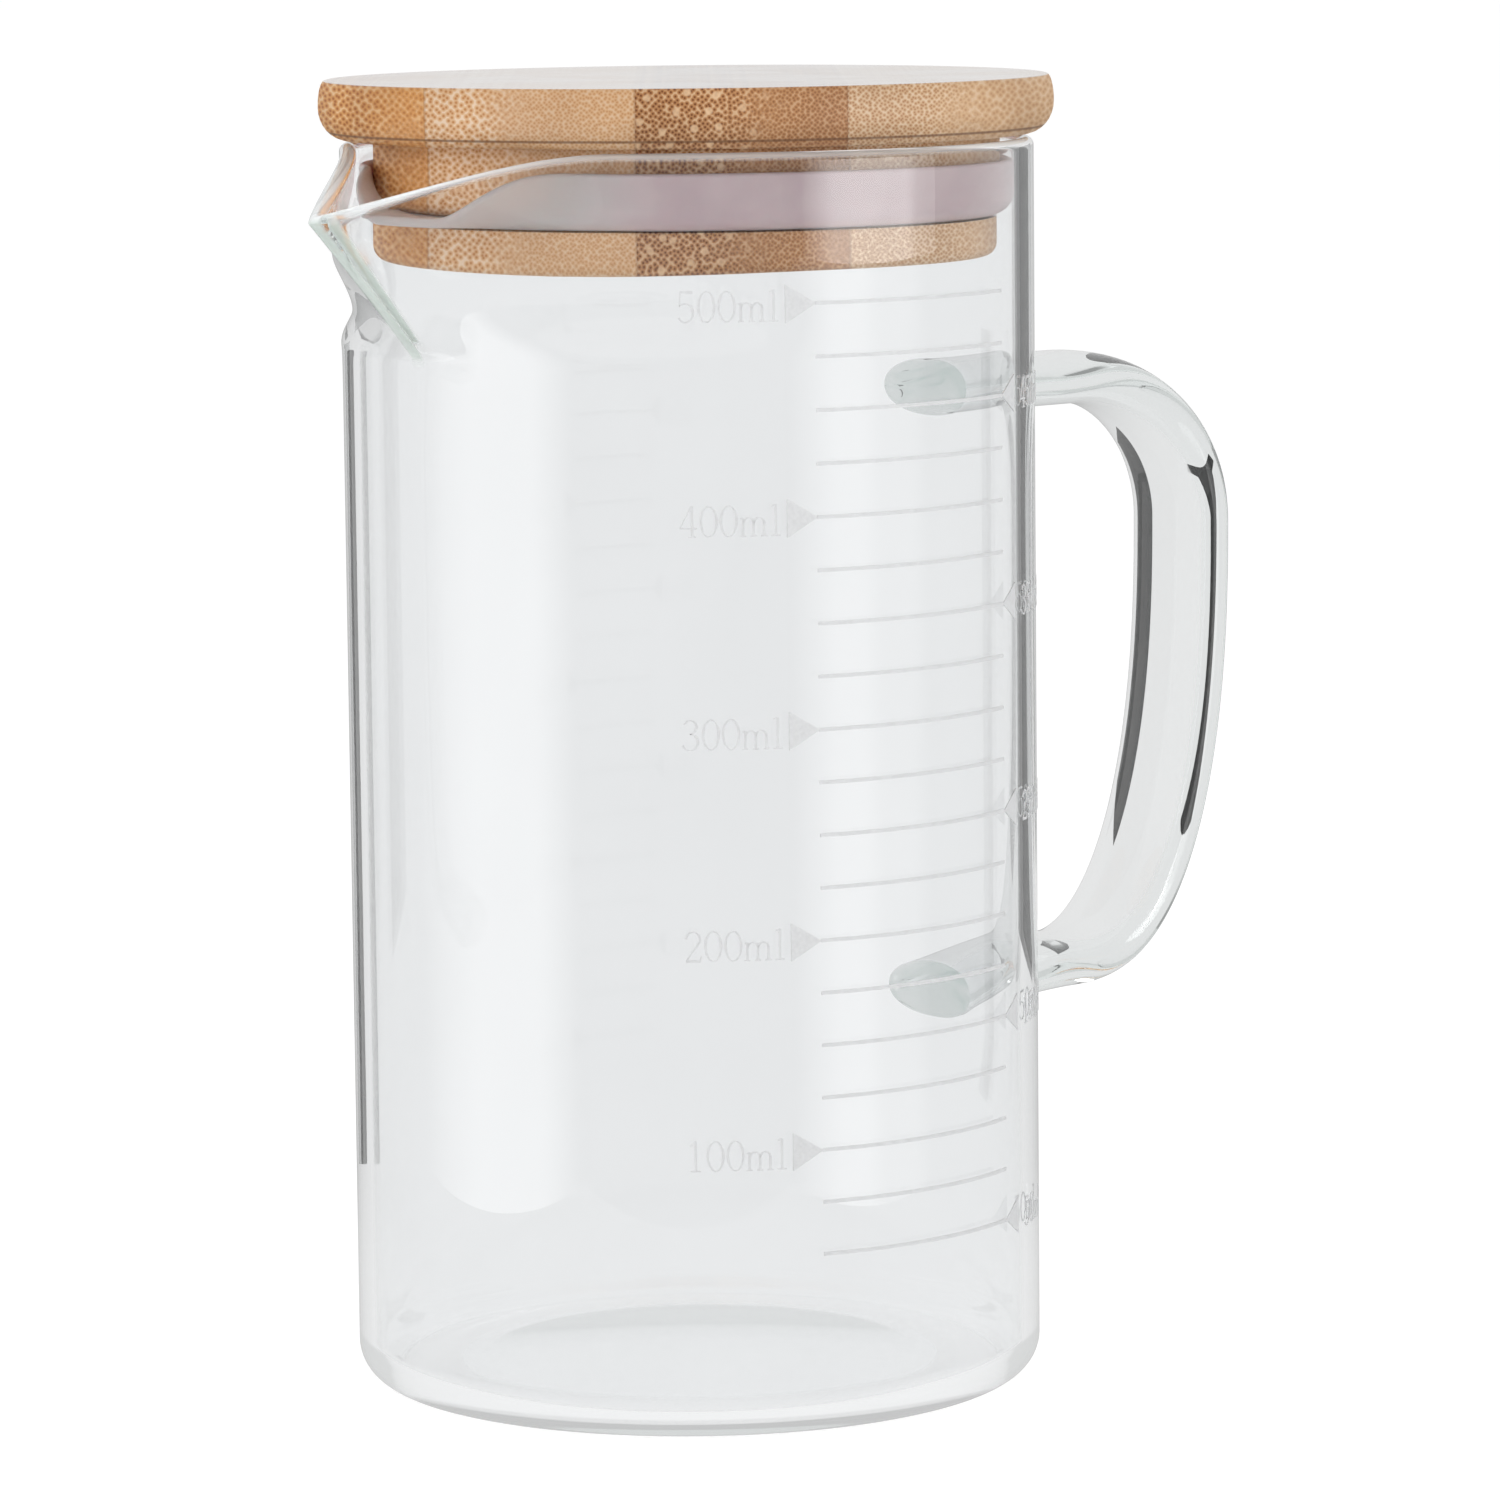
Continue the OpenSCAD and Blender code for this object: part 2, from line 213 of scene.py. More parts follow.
def skin(rows, count):
    """Quads between closed rows of the same count of points."""
    faces = []
    for j in range(rows - 1):
        for i in range(count):
            a, b = j * count + i, j * count + (i + 1) % count
            faces.append((a, b, b + count, a + count))
    return faces


def capped(name, rows, low_tip, high_tip):
    """A closed mesh over rows of points, with a fan to a tip at each end."""
    count = len(rows[0])
    verts = np.concatenate([np.concatenate(rows), [low_tip, high_tip]])
    total = len(rows) * count
    faces = skin(len(rows), count)
    for i in range(count):
        k = (i + 1) % count
        faces.append((k, i, total))
        faces.append((total - count + i, total - count + k, total + 1))
    made = add_object(name, verts, faces)
    face_out(made)
    return made


def ringed(name, rows):
    """A closed ring over closed rows of points, the last joined to the first."""
    count = len(rows[0])
    total = len(rows) * count
    faces = [tuple(v % total for v in f) for f in skin(len(rows) + 1, count)]
    made = add_object(name, np.concatenate(rows), faces)
    face_out(made)
    return made


def arc(x, z, w, h, start, end, steps):
    """Points on an ellipse between two angles in degrees."""
    turns = np.radians(np.linspace(start, end, steps + 1))
    return list(zip(x + w * np.cos(turns), z + h * np.sin(turns)))


# The blown glass

def hump(u):
    """A smooth bump of height 1 between -1 and 1."""
    return np.where(np.abs(u) < 1, (1 + np.cos(np.pi * u)) / 2, 0)


def spout_left(angle, spread):
    """Share of the spout that is left at an angle from its keel, which is slightly rounded."""
    return np.maximum(0, 1 - (np.sqrt(angle ** 2 + KEEL_ROUND ** 2) - KEEL_ROUND) / spread)


def column_angles():
    """Angles of the columns from the keel, in degrees."""
    u = 2 * np.arange(GLASS_COLUMNS) / GLASS_COLUMNS - 1
    crowded = COLUMN_SHARE * np.abs(u) + (1 - COLUMN_SHARE) * np.abs(u) ** COLUMN_POWER
    return 180 * np.sign(u) * crowded


ANGLES = column_angles()


def edge_z(angles):
    """Height at which the wall ends and the rim's crown begins."""
    return EDGE_Z - SPOUT_DROP * spout_left(angles, SPOUT_SPREAD) ** DROP_POWER


def row_z(rise):
    """Heights of a row, from 0 at the keel's foot to 1 at the wall's end."""
    return KEEL_Z + rise * (edge_z(ANGLES) - KEEL_Z)


def row_r(rise, depth):
    """Radii of a row, with depth 0 outside and 1 inside."""
    share = max(rise, 0)
    spread = KEEL_SPREAD + share * (SPOUT_SPREAD - KEEL_SPREAD)
    power = FLANK_POWER_KEEL + share * (FLANK_POWER_RIM - FLANK_POWER_KEEL)
    out = (rise + math.hypot(rise, FOOT_SOFT)) / 2
    bulge = (SPOUT_REACH - depth * KEEL_EXTRA) * out * spout_left(ANGLES, spread) ** power
    dent = hump((np.abs(ANGLES) - PINCH_ANGLE) / PINCH_SPREAD)
    dent = dent * hump((row_z(rise) - PINCH_Z) / PINCH_H)
    return BODY_R - depth * WALL + bulge - PINCH_DEPTH * dent


def polar(r, z):
    """Points round the axis at every column."""
    turns = np.radians(ANGLES)
    r, z = np.broadcast_to(r, turns.shape), np.broadcast_to(z, turns.shape)
    return np.stack([-r * np.cos(turns), -r * np.sin(turns), z], 1)


def rim_row(turn):
    """A row of the fire-polished crown, from 0 outside to pi inside."""
    depth = (1 - math.cos(turn)) / 2
    r = row_r(1, 0) * (1 - depth) + row_r(1, 1) * depth
    return polar(r, row_z(1) + WALL / 2 * math.sin(turn))


def glass_rows():
    """Rows of the body from the push-up out, up the wall, over the rim and down to the floor."""
    rises = np.linspace(-FOOT_RISE, 1, SPOUT_ROWS + 1)
    foot_z = row_z(-FOOT_RISE)
    shares_up = np.linspace(0, 1, WALL_ROWS + 1)[1:-1]
    shares = np.linspace(0, 1, DOME_ROWS + 1)[1:]
    floor_x = BORE_R - FLOOR_R
    heel = arc(BODY_R - HEEL_R, HEEL_R, HEEL_R, HEEL_R, -90, 0, CORNER_ROWS)
    corner = arc(floor_x, BASE_T + FLOOR_R, FLOOR_R, FLOOR_R, 0, -90, CORNER_ROWS)
    rows = [polar(PUSH_UP_R * s, PUSH_UP_H * (1 - s * s)) for s in shares]
    rows += [polar(r, z) for r, z in heel]
    rows += [polar(BODY_R, HEEL_R + s * (foot_z - HEEL_R)) for s in shares_up]
    rows += [polar(row_r(k, 0), row_z(k)) for k in rises]
    rows += [rim_row(math.pi * k / RIM_ROWS) for k in range(1, RIM_ROWS)]
    rows += [polar(row_r(k, 1), row_z(k)) for k in rises[::-1]]
    corner_z = BASE_T + FLOOR_R
    rows += [polar(BORE_R, corner_z + s * (foot_z - corner_z)) for s in shares_up[::-1]]
    rows += [polar(r, z) for r, z in corner]
    rows += [polar(floor_x * s, BASE_T + FLOOR_RISE * (1 - s * s)) for s in shares[-2::-1]]
    return rows


def strap_path():
    """Centre line of the strap from the upper foot round the grip to the lower foot, as X and Z."""
    grip_x = BODY_R + HANDLE_REACH - STRAP_T / 2
    lower_x = BODY_R + LOWER_ELBOW
    feet = np.linspace(0, FOOT_L, FOOT_ROWS + 1)
    arms = np.linspace(FOOT_L, UPPER_X - BODY_R, ARM_ROWS + 1)[1:-1]
    bend = np.radians(np.linspace(90, 0, BEND_ROWS + 1))
    path = [(BODY_R + x, HANDLE_TOP) for x in [*feet, *arms]]
    path += list(zip(UPPER_X + (grip_x - UPPER_X) * np.cos(bend),
                     GRIP_Z + (HANDLE_TOP - GRIP_Z) * np.sin(bend)))
    low = np.radians(np.linspace(0, 90, BEND_ROWS + 1))[1:]
    out = np.clip(np.cos(low), 0, 1) ** (2 / GRIP_POWER)
    down = np.sin(low) ** (2 / GRIP_POWER)
    path += list(zip(lower_x + (grip_x - lower_x) * out, GRIP_Z - (GRIP_Z - HANDLE_LOW) * down))
    back = [*np.linspace(LOWER_ELBOW, FOOT_L, ARM_ROWS + 1)[1:-1], *feet[::-1]]
    path += [(BODY_R + x, HANDLE_LOW - ARM_DROP * (1 - x / LOWER_ELBOW) ** 2) for x in back]
    return np.array(path)


def strap_rows():
    """Rows of the strap, wider at its feet, which end inside the wall."""
    path = strap_path()
    last = len(path) - 1
    turns = np.linspace(0, 2 * math.pi, STRAP_SIDES, endpoint=False)
    across = np.sign(np.cos(turns)) * np.abs(np.cos(turns)) ** (2 / STRAP_POWER)
    through = np.sign(np.sin(turns)) * np.abs(np.sin(turns)) ** (2 / STRAP_POWER)
    rows = []
    for k, (x, z) in enumerate(path):
        d = path[min(k + 1, last)] - path[max(k - 1, 0)]
        t = d / np.linalg.norm(d)
        grow = 1 + FOOT_SHARE * max(0, 1 - (x - BODY_R) / FOOT_L) ** 2
        y, n = STRAP_W / 2 * grow * across, STRAP_T / 2 * grow * through
        if k in (0, last):
            rows.append(np.stack([np.sqrt((BODY_R - WELD) ** 2 - y * y), y, z + n * t[0]], 1))
        else:
            rows.append(np.stack([x - n * t[1], y, z + n * t[0]], 1))
    return rows


def mark_ends(mesh):
    """Stores where the wall is seen end on, along the keel and on the rim's crown, as the masks of
    painted light.
    """
    places = np.empty(3 * len(mesh.vertices))
    mesh.vertices.foreach_get("co", places)
    x, y, z = places.reshape(-1, 3).T / MM
    keel = np.clip((KEEL_HALF - np.abs(y)) / KEEL_SOFT, 0, 1)
    keel = keel * np.clip((-x - BODY_R - KEEL_START) / KEEL_SOFT, 0, 1)
    crown_z = edge_z(np.degrees(np.arctan2(-y, -x)))
    crown = np.clip((z - crown_z) / (WALL / 2) / CROWN_BLEND, 0, 1)
    for name, marks in (("keel", keel), ("crown", crown)):
        mesh.attributes.new(name, "FLOAT", "POINT").data.foreach_set("value", marks)


def make_glass():
    """Body and strap fused into one mesh."""
    rows = glass_rows()
    body = capped("glass", rows, (0, 0, PUSH_UP_H), (0, 0, BASE_T + FLOOR_RISE))
    straps = strap_rows()
    ends = [(BODY_R - WELD, 0, r[:, 2].mean()) for r in (straps[0], straps[-1])]
    strap = capped("strap", straps, *ends)
    weld = body.modifiers.new("weld", "BOOLEAN")
    weld.operation, weld.solver, weld.object = "UNION", "EXACT", strap
    graph = bpy.context.evaluated_depsgraph_get()
    fused = bpy.data.meshes.new_from_object(body.evaluated_get(graph))
    body.modifiers.clear()
    body.data = fused
    fused.name = "glass"
    bpy.data.objects.remove(strap)
    smooth(fused, GLASS_SMOOTH)
    mark_ends(fused)
    return body


# The silicone ring

def flap_fold():
    """Angle to which the flap is folded up at each column, from flat to upright."""
    share = np.clip((np.abs(ANGLES) - FLAP_FREE) / (FLAP_HELD - FLAP_FREE), 0, 1)
    return np.radians(FLAP_REST + (90 - FLAP_REST) * share ** 2 * (3 - 2 * share))


def make_seal():
    """The ring's root, bend, flap and tip, as rows from the root out and back again."""
    fold = flap_fold()
    bend_r, bend_z = SEAL_R - SEAL_BEND, SEAL_Z + SEAL_BEND
    middle, tip = SEAL_BEND - SEAL_T / 2, SEAL_T / 2
    straight = SEAL_H - tip - SEAL_BEND + middle * (math.pi / 2 - fold)

    def bend(r, share):
        return polar(bend_r + r * np.sin(fold * share), bend_z - r * np.cos(fold * share))

    def round_tip(turn):
        out, along = middle + tip * math.cos(turn), straight + tip * math.sin(turn)
        return polar(bend_r + out * np.sin(fold) + along * np.cos(fold),
                     bend_z - out * np.cos(fold) + along * np.sin(fold))

    shares = np.linspace(0, 1, BEND_STEPS + 1)
    rows = [polar(SEAL_ROOT_R, SEAL_Z + SEAL_T), polar(SEAL_ROOT_R, SEAL_Z)]
    rows += [bend(SEAL_BEND, s) for s in shares]
    rows += [round_tip(turn) for turn in np.linspace(0, math.pi, TIP_STEPS + 1)]
    rows += [bend(SEAL_BEND - SEAL_T, s) for s in shares[::-1]]
    made = ringed("seal", rows)
    smooth(made.data, GLASS_SMOOTH)
    return made


# The numerals of the scale, drawn as ribbons in units of their height

THIN = 0.045
THICK = 0.085
CURVE_POINTS = 28


def line(x0, y0, x1, y1, w=THIN):
    """A straight stroke, as points and widths."""
    return [(x0, y0), (x1, y1)], [w, w]


def curve(x, y, rx, ry, start, end, tail=()):
    """An arc that is thick where it runs up and down and thin where it runs across."""
    turns = np.radians(np.linspace(start, end, CURVE_POINTS))
    points = list(zip(x + rx * np.cos(turns), y + ry * np.sin(turns)))
    widths = list(THIN + (THICK - THIN) * np.cos(turns) ** 2)
    return points + list(tail), widths + [THIN] * len(tail)


# Each sign's advance and strokes
GLYPHS = {
    "0": (0.64, [curve(0.31, 0.5, 0.25, 0.48, 0, 360)]),
    "1": (0.64, [
        line(0.31, 0, 0.31, 1, THICK), line(0.13, 0.83, 0.31, 0.97),
        line(0.14, 0.02, 0.48, 0.02)]),
    "2": (0.64, [
        curve(0.3, 0.73, 0.22, 0.24, 175, -35, [(0.08, 0.03)]),
        line(0.07, 0.03, 0.54, 0.03, THICK), line(0.54, 0.03, 0.57, 0.2)]),
    "3": (0.64, [
        curve(0.29, 0.75, 0.2, 0.22, 160, -90), curve(0.28, 0.27, 0.25, 0.26, 90, -160)]),
    "4": (0.64, [
        line(0.4, 1, 0.04, 0.29), line(0.04, 0.29, 0.58, 0.29), line(0.42, 1, 0.42, 0, THICK),
        line(0.29, 0.02, 0.55, 0.02)]),
    "5": (0.64, [
        line(0.12, 0.96, 0.52, 0.96, THICK), line(0.13, 0.96, 0.1, 0.52),
        curve(0.28, 0.31, 0.25, 0.29, 135, -150)]),
    "m": (0.96, [
        line(0.12, 0, 0.12, 0.6, THICK), line(0.46, 0, 0.46, 0.46, THICK),
        line(0.8, 0, 0.8, 0.46, THICK),
        curve(0.3, 0.44, 0.16, 0.16, 180, 0), curve(0.64, 0.44, 0.16, 0.16, 180, 0),
        line(0.03, 0.57, 0.12, 0.6), line(0.02, 0.02, 0.22, 0.02), line(0.36, 0.02, 0.56, 0.02),
        line(0.7, 0.02, 0.9, 0.02)]),
    "l": (0.46, [
        line(0.22, 0, 0.22, 1, THICK), line(0.08, 0.95, 0.22, 1), line(0.07, 0.02, 0.37, 0.02)]),
}


def ribbon(points, widths):
    """The two edges of a ribbon along a line of points."""
    p = np.array(points, float)
    d = np.gradient(p, axis=0)
    d /= np.linalg.norm(d, axis=1)[:, None]
    n = np.stack([-d[:, 1], d[:, 0]], 1) * np.array(widths)[:, None] / 2
    return p + n, p - n


def make_numerals():
    """Every numeral of the scale as one mesh of thin closed ribbons on the glass."""
    verts, faces = [], []

    def place(x, y, start, height, r):
        turn = math.radians(start) + x * FIGURE_H / BODY_R
        return r * math.cos(turn), r * math.sin(turn), height + (y - 0.5) * FIGURE_H

    for step in range(NUMERAL_EVERY, LAST_LINE + 1, NUMERAL_EVERY):
        height = SCALE_ZERO + step * LINE_PITCH - FIGURE_DROP
        start = LEFT_TEXT if step % (2 * NUMERAL_EVERY) == 0 else RIGHT_TEXT
        pen = 0.0
        for sign in f"{step * ML_PER_LINE}ml":
            advance, strokes = GLYPHS[sign]
            for points, widths in strokes:
                base = len(verts)
                for left, right in zip(*ribbon(points, widths)):
                    for r in (INK_R, INK_R + INK_T):
                        verts.append(place(pen + left[0], left[1], start, height, r))
                        verts.append(place(pen + right[0], right[1], start, height, r))
                rows = len(points)
                for j in range(rows - 1):
                    a, b = base + 4 * j, base + 4 * (j + 1)
                    for i, k in ((0, 1), (1, 3), (3, 2), (2, 0)):
                        faces.append((a + i, a + k, b + k, b + i))
                end = base + 4 * (rows - 1)
                faces += [(base, base + 2, base + 3, base + 1), (end + 1, end + 3, end + 2, end)]
            pen += advance
    made = add_object("numerals", verts, faces)
    face_out(made)
    return made


# Materials

# The range in which most of a noise texture's values lie
NOISE_LOW, NOISE_HIGH = 0.3, 0.7

# Glass: linear tones of the body and of the strap, whose greyer tone is painted shade, the distance
# outside the body over which one gives way to the other, display colours and shares of the pale,
# part diffuse finish at the wall's ends, which is painted light on the keel and a painted highlight
# on the crown, and the tint inside
GLASS_TONES = (0.906, 0.911, 0.917), (0.92, 0.925, 0.931)
STRAP_SHADE_TONES = (0.8, 0.803, 0.806), (0.82, 0.823, 0.826)
STRAP_BLEND = 1.5
KEEL_GLOW_TONE, KEEL_GLOW_SHARE = (212, 222, 216), 0.75
CROWN_HIGHLIGHT_TONE, CROWN_HIGHLIGHT_SHARE = (246, 248, 249), 0.5
GLASS_WAVE = 45.0
GLASS_BUMP, GLASS_BUMP_DEPTH = 0.02, 0.0006
GLASS_IOR = 1.47
GLASS_TINT, GLASS_DENSITY = (0.7, 0.8, 0.77, 1), 12.0

# Enamel
ENAMEL_TONES = (203, 204, 205), (213, 214, 215)
ENAMEL_GRAIN = 2600.0
ENAMEL_ROUGH = 0.5, 0.65
ENAMEL_IOR = 1.5

# Silicone: display colours of the ring, and of the thin flap that the spout leaves free, with the
# places on X between which the flap gives way to the ring
SEAL_TONES = (182, 163, 166), (192, 174, 176)
SEAL_CLOUD, SEAL_CLOUD_LOW, SEAL_CLOUD_HIGH = 160.0, 0.35, 0.65
SEAL_DUST = 2200.0
SEAL_ROUGH = 0.34, 0.46
SEAL_BUMP, SEAL_BUMP_DEPTH = 0.08, 0.0001
SEAL_IOR = 1.41
SEAL_DEEP, SEAL_DEEP_RADIUS, SEAL_DEEP_SCALE = 0.35, (0.004, 0.0028, 0.003), 0.6
FLAP_TONE, FLAP_CLEAR = (236, 228, 226), 0.6
FLAP_X, RING_X = -34, -26

# Bamboo: the lattice of its fibre bundles, with places in a cell from core to net
LATTICE_TURN = 45
LATTICE_CHANCE = 0.65
BUNDLE_STOPS = 0.12, 0.36, 0.46, 0.62
BUNDLE_EDGE, BUNDLE_RAGGED = 900.0, 0.16
DRIFT_SCALE, DRIFT = 30.0, 0.0012
PATCH_SCALE, PATCH_SHARE = 120.0, 0.5
HAZE_SOFT = 0.4
FLECK_SPACING, FLECK_CORE, FLECK_EDGE, FLECK_TONE = 2.6, 0.1, 0.2, (224, 190, 152)
CLOUD_SCALE, CLOUD_SHARE = 70.0, 0.55
CLOUD_TONES = (0.62, 0.55, 0.48), (1, 1, 1)
# Bamboo: the dark lines of seams and glue, half their width and its blend in millimetres
SEAM_HALF, SEAM_BLEND = 0.05, 0.22
SEAM_DARK, GLUE_DARK, SEAM_TONE = 0.25, 0.7, (96, 56, 26)
# Bamboo: its surface, and the wax on faces that point up this far
WOOD_BUMP, WOOD_BUMP_DEPTH = 0.12, 0.00012
WOOD_ROUGH, WOOD_IOR = (0.46, 0.58), 1.5
WAX_FROM, WAX_FULL = 0.6, 0.95
WAX_POLISH, WAX_ROUGH = 0.36, 0.1

# Floor and cards: linear tones, and the floor's glow and the grey that takes the shadow, as the
# camera sees them
FLOOR_GRAIN = 40.0
FLOOR_TONES = (0.9,) * 3, (0.93,) * 3
FLOOR_GLOW, FLOOR_GREY = 0.8, (0.35, 0.35, 0.35, 1)
# Distances from the axis between which the floor's level in mirrors falls to the room's
NEAR_FROM, NEAR_TO = 2 * BODY_R, 4 * BODY_R
CARD_GRAIN = 300.0
DARK_CARD = (0.03,) * 3, (0.05,) * 3
GREY_CARD = (0.1,) * 3, (0.14,) * 3


def paint(red, green, blue):
    """A display colour as a shader's linear colour."""
    return (*linear(red, green, blue), 1)


def new_material(name):
    """A material without nodes, and its tree."""
    made = bpy.data.materials.new(name)
    made.use_nodes = True
    tree = made.node_tree
    tree.nodes.clear()
    return made, tree


def add(tree, kind, inputs=None, **settings):
    """A shader node with its settings, and its inputs given as values or as outputs to link."""
    made = tree.nodes.new("ShaderNode" + kind)
    for key, value in settings.items():
        setattr(made, key, value)
    for key, value in (inputs or {}).items():
        if isinstance(value, bpy.types.NodeSocket):
            tree.links.new(value, made.inputs[key])
        else:
            made.inputs[key].default_value = value
    return made


def ramp(tree, value, stops):
    """A colour ramp over a value, with stops as place and linear colour."""
    made = add(tree, "ValToRGB", {"Fac": value})
    elements = made.color_ramp.elements
    while len(elements) < len(stops):
        elements.new(0.5)
    for element, (place, colour) in zip(elements, stops):
        element.position = place
        element.color = (*colour, 1)
    return made.outputs["Color"]


def two_tone(tree, value, dark, light):
    """A blend of two linear colours over a noise's usual range."""
    return ramp(tree, value, [(NOISE_LOW, dark), (NOISE_HIGH, light)])


def math_node(tree, operation, a, b=0.0, c=0.0, clamp=False):
    """The result of one sum."""
    made = add(tree, "Math", {0: a, 1: b, 2: c}, operation=operation, use_clamp=clamp)
    return made.outputs[0]


def fade(tree, value, low, high, to_low=0.0, to_high=1.0):
    """A smooth step of a value between two limits."""
    limits = {"From Min": low, "From Max": high, "To Min": to_low, "To Max": to_high}
    made = add(tree, "MapRange", {"Value": value, **limits}, interpolation_type="SMOOTHSTEP")
    return made.outputs[0]


def vary(tree, value, at_low, at_high):
    """A number that follows a noise over its usual range."""
    return fade(tree, value, NOISE_LOW, NOISE_HIGH, at_low, at_high)


def mix(tree, share, a, b, blend="MIX"):
    """Two colours, mixed by the share of the second."""
    made = add(tree, "Mix", {0: share, 6: a, 7: b}, data_type="RGBA", blend_type=blend)
    return made.outputs[2]


def noise(tree, where, scale, detail=2.0):
    """A noise texture with its scale per metre."""
    made = add(tree, "TexNoise", {"Vector": where, "Scale": scale, "Detail": detail})
    return made.outputs["Fac"]


def place_of(tree):
    """The place on the object, in metres."""
    return add(tree, "TexCoord").outputs["Object"]


def axes_of(tree, vector):
    """The X, Y and Z of a vector."""
    return add(tree, "SeparateXYZ", {0: vector}).outputs


def dot(tree, a, b):
    """The dot product of two vectors."""
    return add(tree, "VectorMath", {0: a, 1: b}, operation="DOT_PRODUCT").outputs["Value"]


def gap(tree, value, place):
    """How far a value is from a place, either way."""
    return math_node(tree, "ABSOLUTE", math_node(tree, "SUBTRACT", value, place))


def bump(tree, height, strength, depth):
    """A normal that follows a height, with its depth in metres."""
    made = add(tree, "Bump", {"Height": height, "Strength": strength, "Distance": depth})
    return made.outputs[0]


def finish_material(tree, shader, volume=None):
    """Links the shader, and a volume if there is one, to the material's output."""
    out = add(tree, "OutputMaterial", {"Surface": shader.outputs[0]})
    if volume is not None:
        tree.links.new(volume.outputs[0], out.inputs["Volume"])


def glass_material():
    """Clear glass, with painted shade that makes the strap greyer, and a pale, part diffuse finish
    where the wall is seen end on, which is painted light on the keel and a painted highlight on the
    crown.
    """
    made, tree = new_material("glass")
    where = place_of(tree)
    waves = noise(tree, where, GLASS_WAVE, 1.0)
    tone = two_tone(tree, waves, *GLASS_TONES)
    # Painted shade: the strap is the same glass, given a greyer tone because the thick strap reads
    # darker
    strap = fade(tree, axes_of(tree, where)[0], BODY_R * MM, (BODY_R + STRAP_BLEND) * MM)
    tone = mix(tree, strap, tone, two_tone(tree, waves, *STRAP_SHADE_TONES))
    # Painted light on the keel and a painted highlight on the crown: pale tones and a part diffuse
    # finish, not milky glass
    keel = add(tree, "Attribute", attribute_name="keel").outputs["Fac"]
    crown = add(tree, "Attribute", attribute_name="crown").outputs["Fac"]
    tone = mix(tree, keel, tone, paint(*KEEL_GLOW_TONE))
    tone = mix(tree, crown, tone, paint(*CROWN_HIGHLIGHT_TONE))
    painted_light = math_node(tree, "MAXIMUM", math_node(tree, "MULTIPLY", keel, KEEL_GLOW_SHARE),
                     math_node(tree, "MULTIPLY", crown, CROWN_HIGHLIGHT_SHARE))
    clear = math_node(tree, "SUBTRACT", 1.0, painted_light)
    # A ray that has turned inside too often is let out, where the render would leave it black
    turns = add(tree, "LightPath").outputs["Glossy Depth"]
    held = math_node(tree, "LESS_THAN", turns, GLASS_TURNS)
    shader = add(tree, "BsdfPrincipled", {
        "Base Color": tone, "Roughness": 0.0, "IOR": GLASS_IOR, "Transmission Weight": clear,
        "Alpha": held, "Normal": bump(tree, waves, GLASS_BUMP, GLASS_BUMP_DEPTH)})
    volume = add(tree, "VolumeAbsorption", {"Color": GLASS_TINT, "Density": GLASS_DENSITY})
    finish_material(tree, shader, volume)
    return made


def enamel_material():
    """Pale fired print with a fine grain."""
    made, tree = new_material("enamel")
    grain = noise(tree, place_of(tree), ENAMEL_GRAIN, 3.0)
    tone = two_tone(tree, grain, *(linear(*t) for t in ENAMEL_TONES))
    rough = vary(tree, grain, *ENAMEL_ROUGH)
    shader = add(tree, "BsdfPrincipled", {
        "Base Color": tone, "Roughness": rough, "IOR": ENAMEL_IOR})
    finish_material(tree, shader)
    return made


def silicone_material():
    """Cloudy satin silicone, pale and part see-through in the free flap."""
    made, tree = new_material("silicone")
    where = place_of(tree)
    cloud = noise(tree, where, SEAL_CLOUD, 3.0)
    dark, light = (linear(*t) for t in SEAL_TONES)
    tone = ramp(tree, cloud, [(SEAL_CLOUD_LOW, dark), (SEAL_CLOUD_HIGH, light)])
    dust = noise(tree, where, SEAL_DUST)
    free = fade(tree, axes_of(tree, where)[0], FLAP_X * MM, RING_X * MM, 1.0, 0.0)
    shader = add(tree, "BsdfPrincipled", {
        "Base Color": mix(tree, free, tone, paint(*FLAP_TONE)),
        "Roughness": vary(tree, dust, *SEAL_ROUGH), "IOR": SEAL_IOR,
        "Transmission Weight": math_node(tree, "MULTIPLY", free, FLAP_CLEAR),
        "Subsurface Weight": SEAL_DEEP, "Subsurface Radius": SEAL_DEEP_RADIUS,
        "Subsurface Scale": SEAL_DEEP_SCALE,
        "Normal": bump(tree, dust, SEAL_BUMP, SEAL_BUMP_DEPTH)})
    finish_material(tree, shader)
    return made


